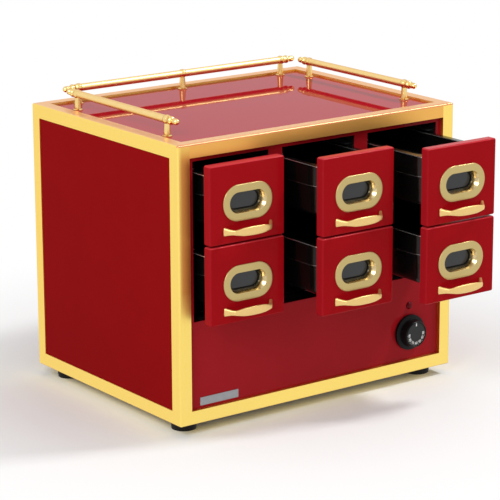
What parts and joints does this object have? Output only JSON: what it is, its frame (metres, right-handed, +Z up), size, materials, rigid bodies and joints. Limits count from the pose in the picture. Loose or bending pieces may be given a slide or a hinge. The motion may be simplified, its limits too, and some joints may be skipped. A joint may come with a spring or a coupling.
{
  "type": "drawer warmer",
  "caption": "Table-top food warming cabinet with rows of pull-out pan drawers, round windows, bow handles, a thermostat knob and a gallery rail on top.",
  "frame": {"origin": "middle of the whole box at table level, with the drawers where they stand pulled out", "axes": "+Z up, the drawer fronts face -Y, +X to the right as seen from the front"},
  "size_m": [0.5, 0.5425, 0.45],
  "materials": {
    "gold_tube": "brushed, gold toned",
    "red_lacquer": "high gloss lacquer",
    "red_fascia": "high gloss lacquer",
    "red_top": "mirror gloss lacquer",
    "drawer_lacquer": "high gloss lacquer",
    "porthole_brass": "satin face, polished throat",
    "handle_brass": "satin",
    "gallery_brass": "polished",
    "dark_glass": "smoked",
    "pan_steel": "polished",
    "zinc_sheet": "galvanised",
    "element_sheath": "oxidised sheath",
    "screw_steel": "zinc plated",
    "foot_rubber": "matt",
    "knob_plastic": "fine matt",
    "black_plastic": "moulded",
    "gland_nylon": "moulded nylon",
    "terminal_plastic": "moulded",
    "lamp_red": "clear moulded"
  },
  "bodies": {
    "cabinet": {"frame_posts": "gold_tube", "post_plugs": "black_plastic", "frame_top_rails": "gold_tube", "frame_bottom_rails": "gold_tube", "left_panel": "red_lacquer", "right_panel": "red_lacquer", "back_panel": "red_lacquer", "top_panel": "red_top", "front_fascia": "red_fascia", "base_plate": "zinc_sheet", "feet": "foot_rubber", "foot_screws": "screw_steel", "heater_deck": "zinc_sheet", "bay_walls": "zinc_sheet", "drawer_runners": "zinc_sheet", "heating_element": "element_sheath", "element_brackets": "zinc_sheet", "thermostat_body": "black_plastic", "pilot_lamp": "lamp_red", "gland_body": "gland_nylon", "gland_nut": "gland_nylon", "terminal_block": "terminal_plastic", "gallery_posts": "gallery_brass", "gallery_rail_left": "gallery_brass", "gallery_rail_right": "gallery_brass", "gallery_rail_back": "gallery_brass", "gallery_finials": "gallery_brass"},
    "control_knob": {"thermostat_knob": "knob_plastic", "thermostat_shaft": "screw_steel"},
    "left_lower_drawer": {"left_lower_front": "drawer_lacquer", "left_lower_pan": "pan_steel", "left_lower_porthole_ring": "porthole_brass", "left_lower_porthole_glass": "dark_glass", "left_lower_handle": "handle_brass"},
    "left_upper_drawer": {"left_upper_front": "drawer_lacquer", "left_upper_pan": "pan_steel", "left_upper_porthole_ring": "porthole_brass", "left_upper_porthole_glass": "dark_glass", "left_upper_handle": "handle_brass"},
    "middle_lower_drawer": {"middle_lower_front": "drawer_lacquer", "middle_lower_pan": "pan_steel", "middle_lower_porthole_ring": "porthole_brass", "middle_lower_porthole_glass": "dark_glass", "middle_lower_handle": "handle_brass"},
    "middle_upper_drawer": {"middle_upper_front": "drawer_lacquer", "middle_upper_pan": "pan_steel", "middle_upper_porthole_ring": "porthole_brass", "middle_upper_porthole_glass": "dark_glass", "middle_upper_handle": "handle_brass"},
    "right_lower_drawer": {"right_lower_front": "drawer_lacquer", "right_lower_pan": "pan_steel", "right_lower_porthole_ring": "porthole_brass", "right_lower_porthole_glass": "dark_glass", "right_lower_handle": "handle_brass"},
    "right_upper_drawer": {"right_upper_front": "drawer_lacquer", "right_upper_pan": "pan_steel", "right_upper_porthole_ring": "porthole_brass", "right_upper_porthole_glass": "dark_glass", "right_upper_handle": "handle_brass"}
  },
  "joints": [
    {"name": "knob_turn", "type": "hinge", "parent": "cabinet", "child": "control_knob", "pos_m": [0.1735, -0.11925, 0.079], "axis": [0, 1, 0], "range_deg": [0, 270]},
    {"name": "left_lower_slide", "type": "slide", "parent": "cabinet", "child": "left_lower_drawer", "axis": [0, -1, 0], "range_m": [-0.033, 0.207]},
    {"name": "left_upper_slide", "type": "slide", "parent": "cabinet", "child": "left_upper_drawer", "axis": [0, -1, 0], "range_m": [-0.033, 0.207]},
    {"name": "middle_lower_slide", "type": "slide", "parent": "cabinet", "child": "middle_lower_drawer", "axis": [0, -1, 0], "range_m": [-0.086, 0.154]},
    {"name": "middle_upper_slide", "type": "slide", "parent": "cabinet", "child": "middle_upper_drawer", "axis": [0, -1, 0], "range_m": [-0.086, 0.154]},
    {"name": "right_lower_slide", "type": "slide", "parent": "cabinet", "child": "right_lower_drawer", "axis": [0, -1, 0], "range_m": [-0.128, 0.112]},
    {"name": "right_upper_slide", "type": "slide", "parent": "cabinet", "child": "right_upper_drawer", "axis": [0, -1, 0], "range_m": [-0.128, 0.112]}
  ]
}
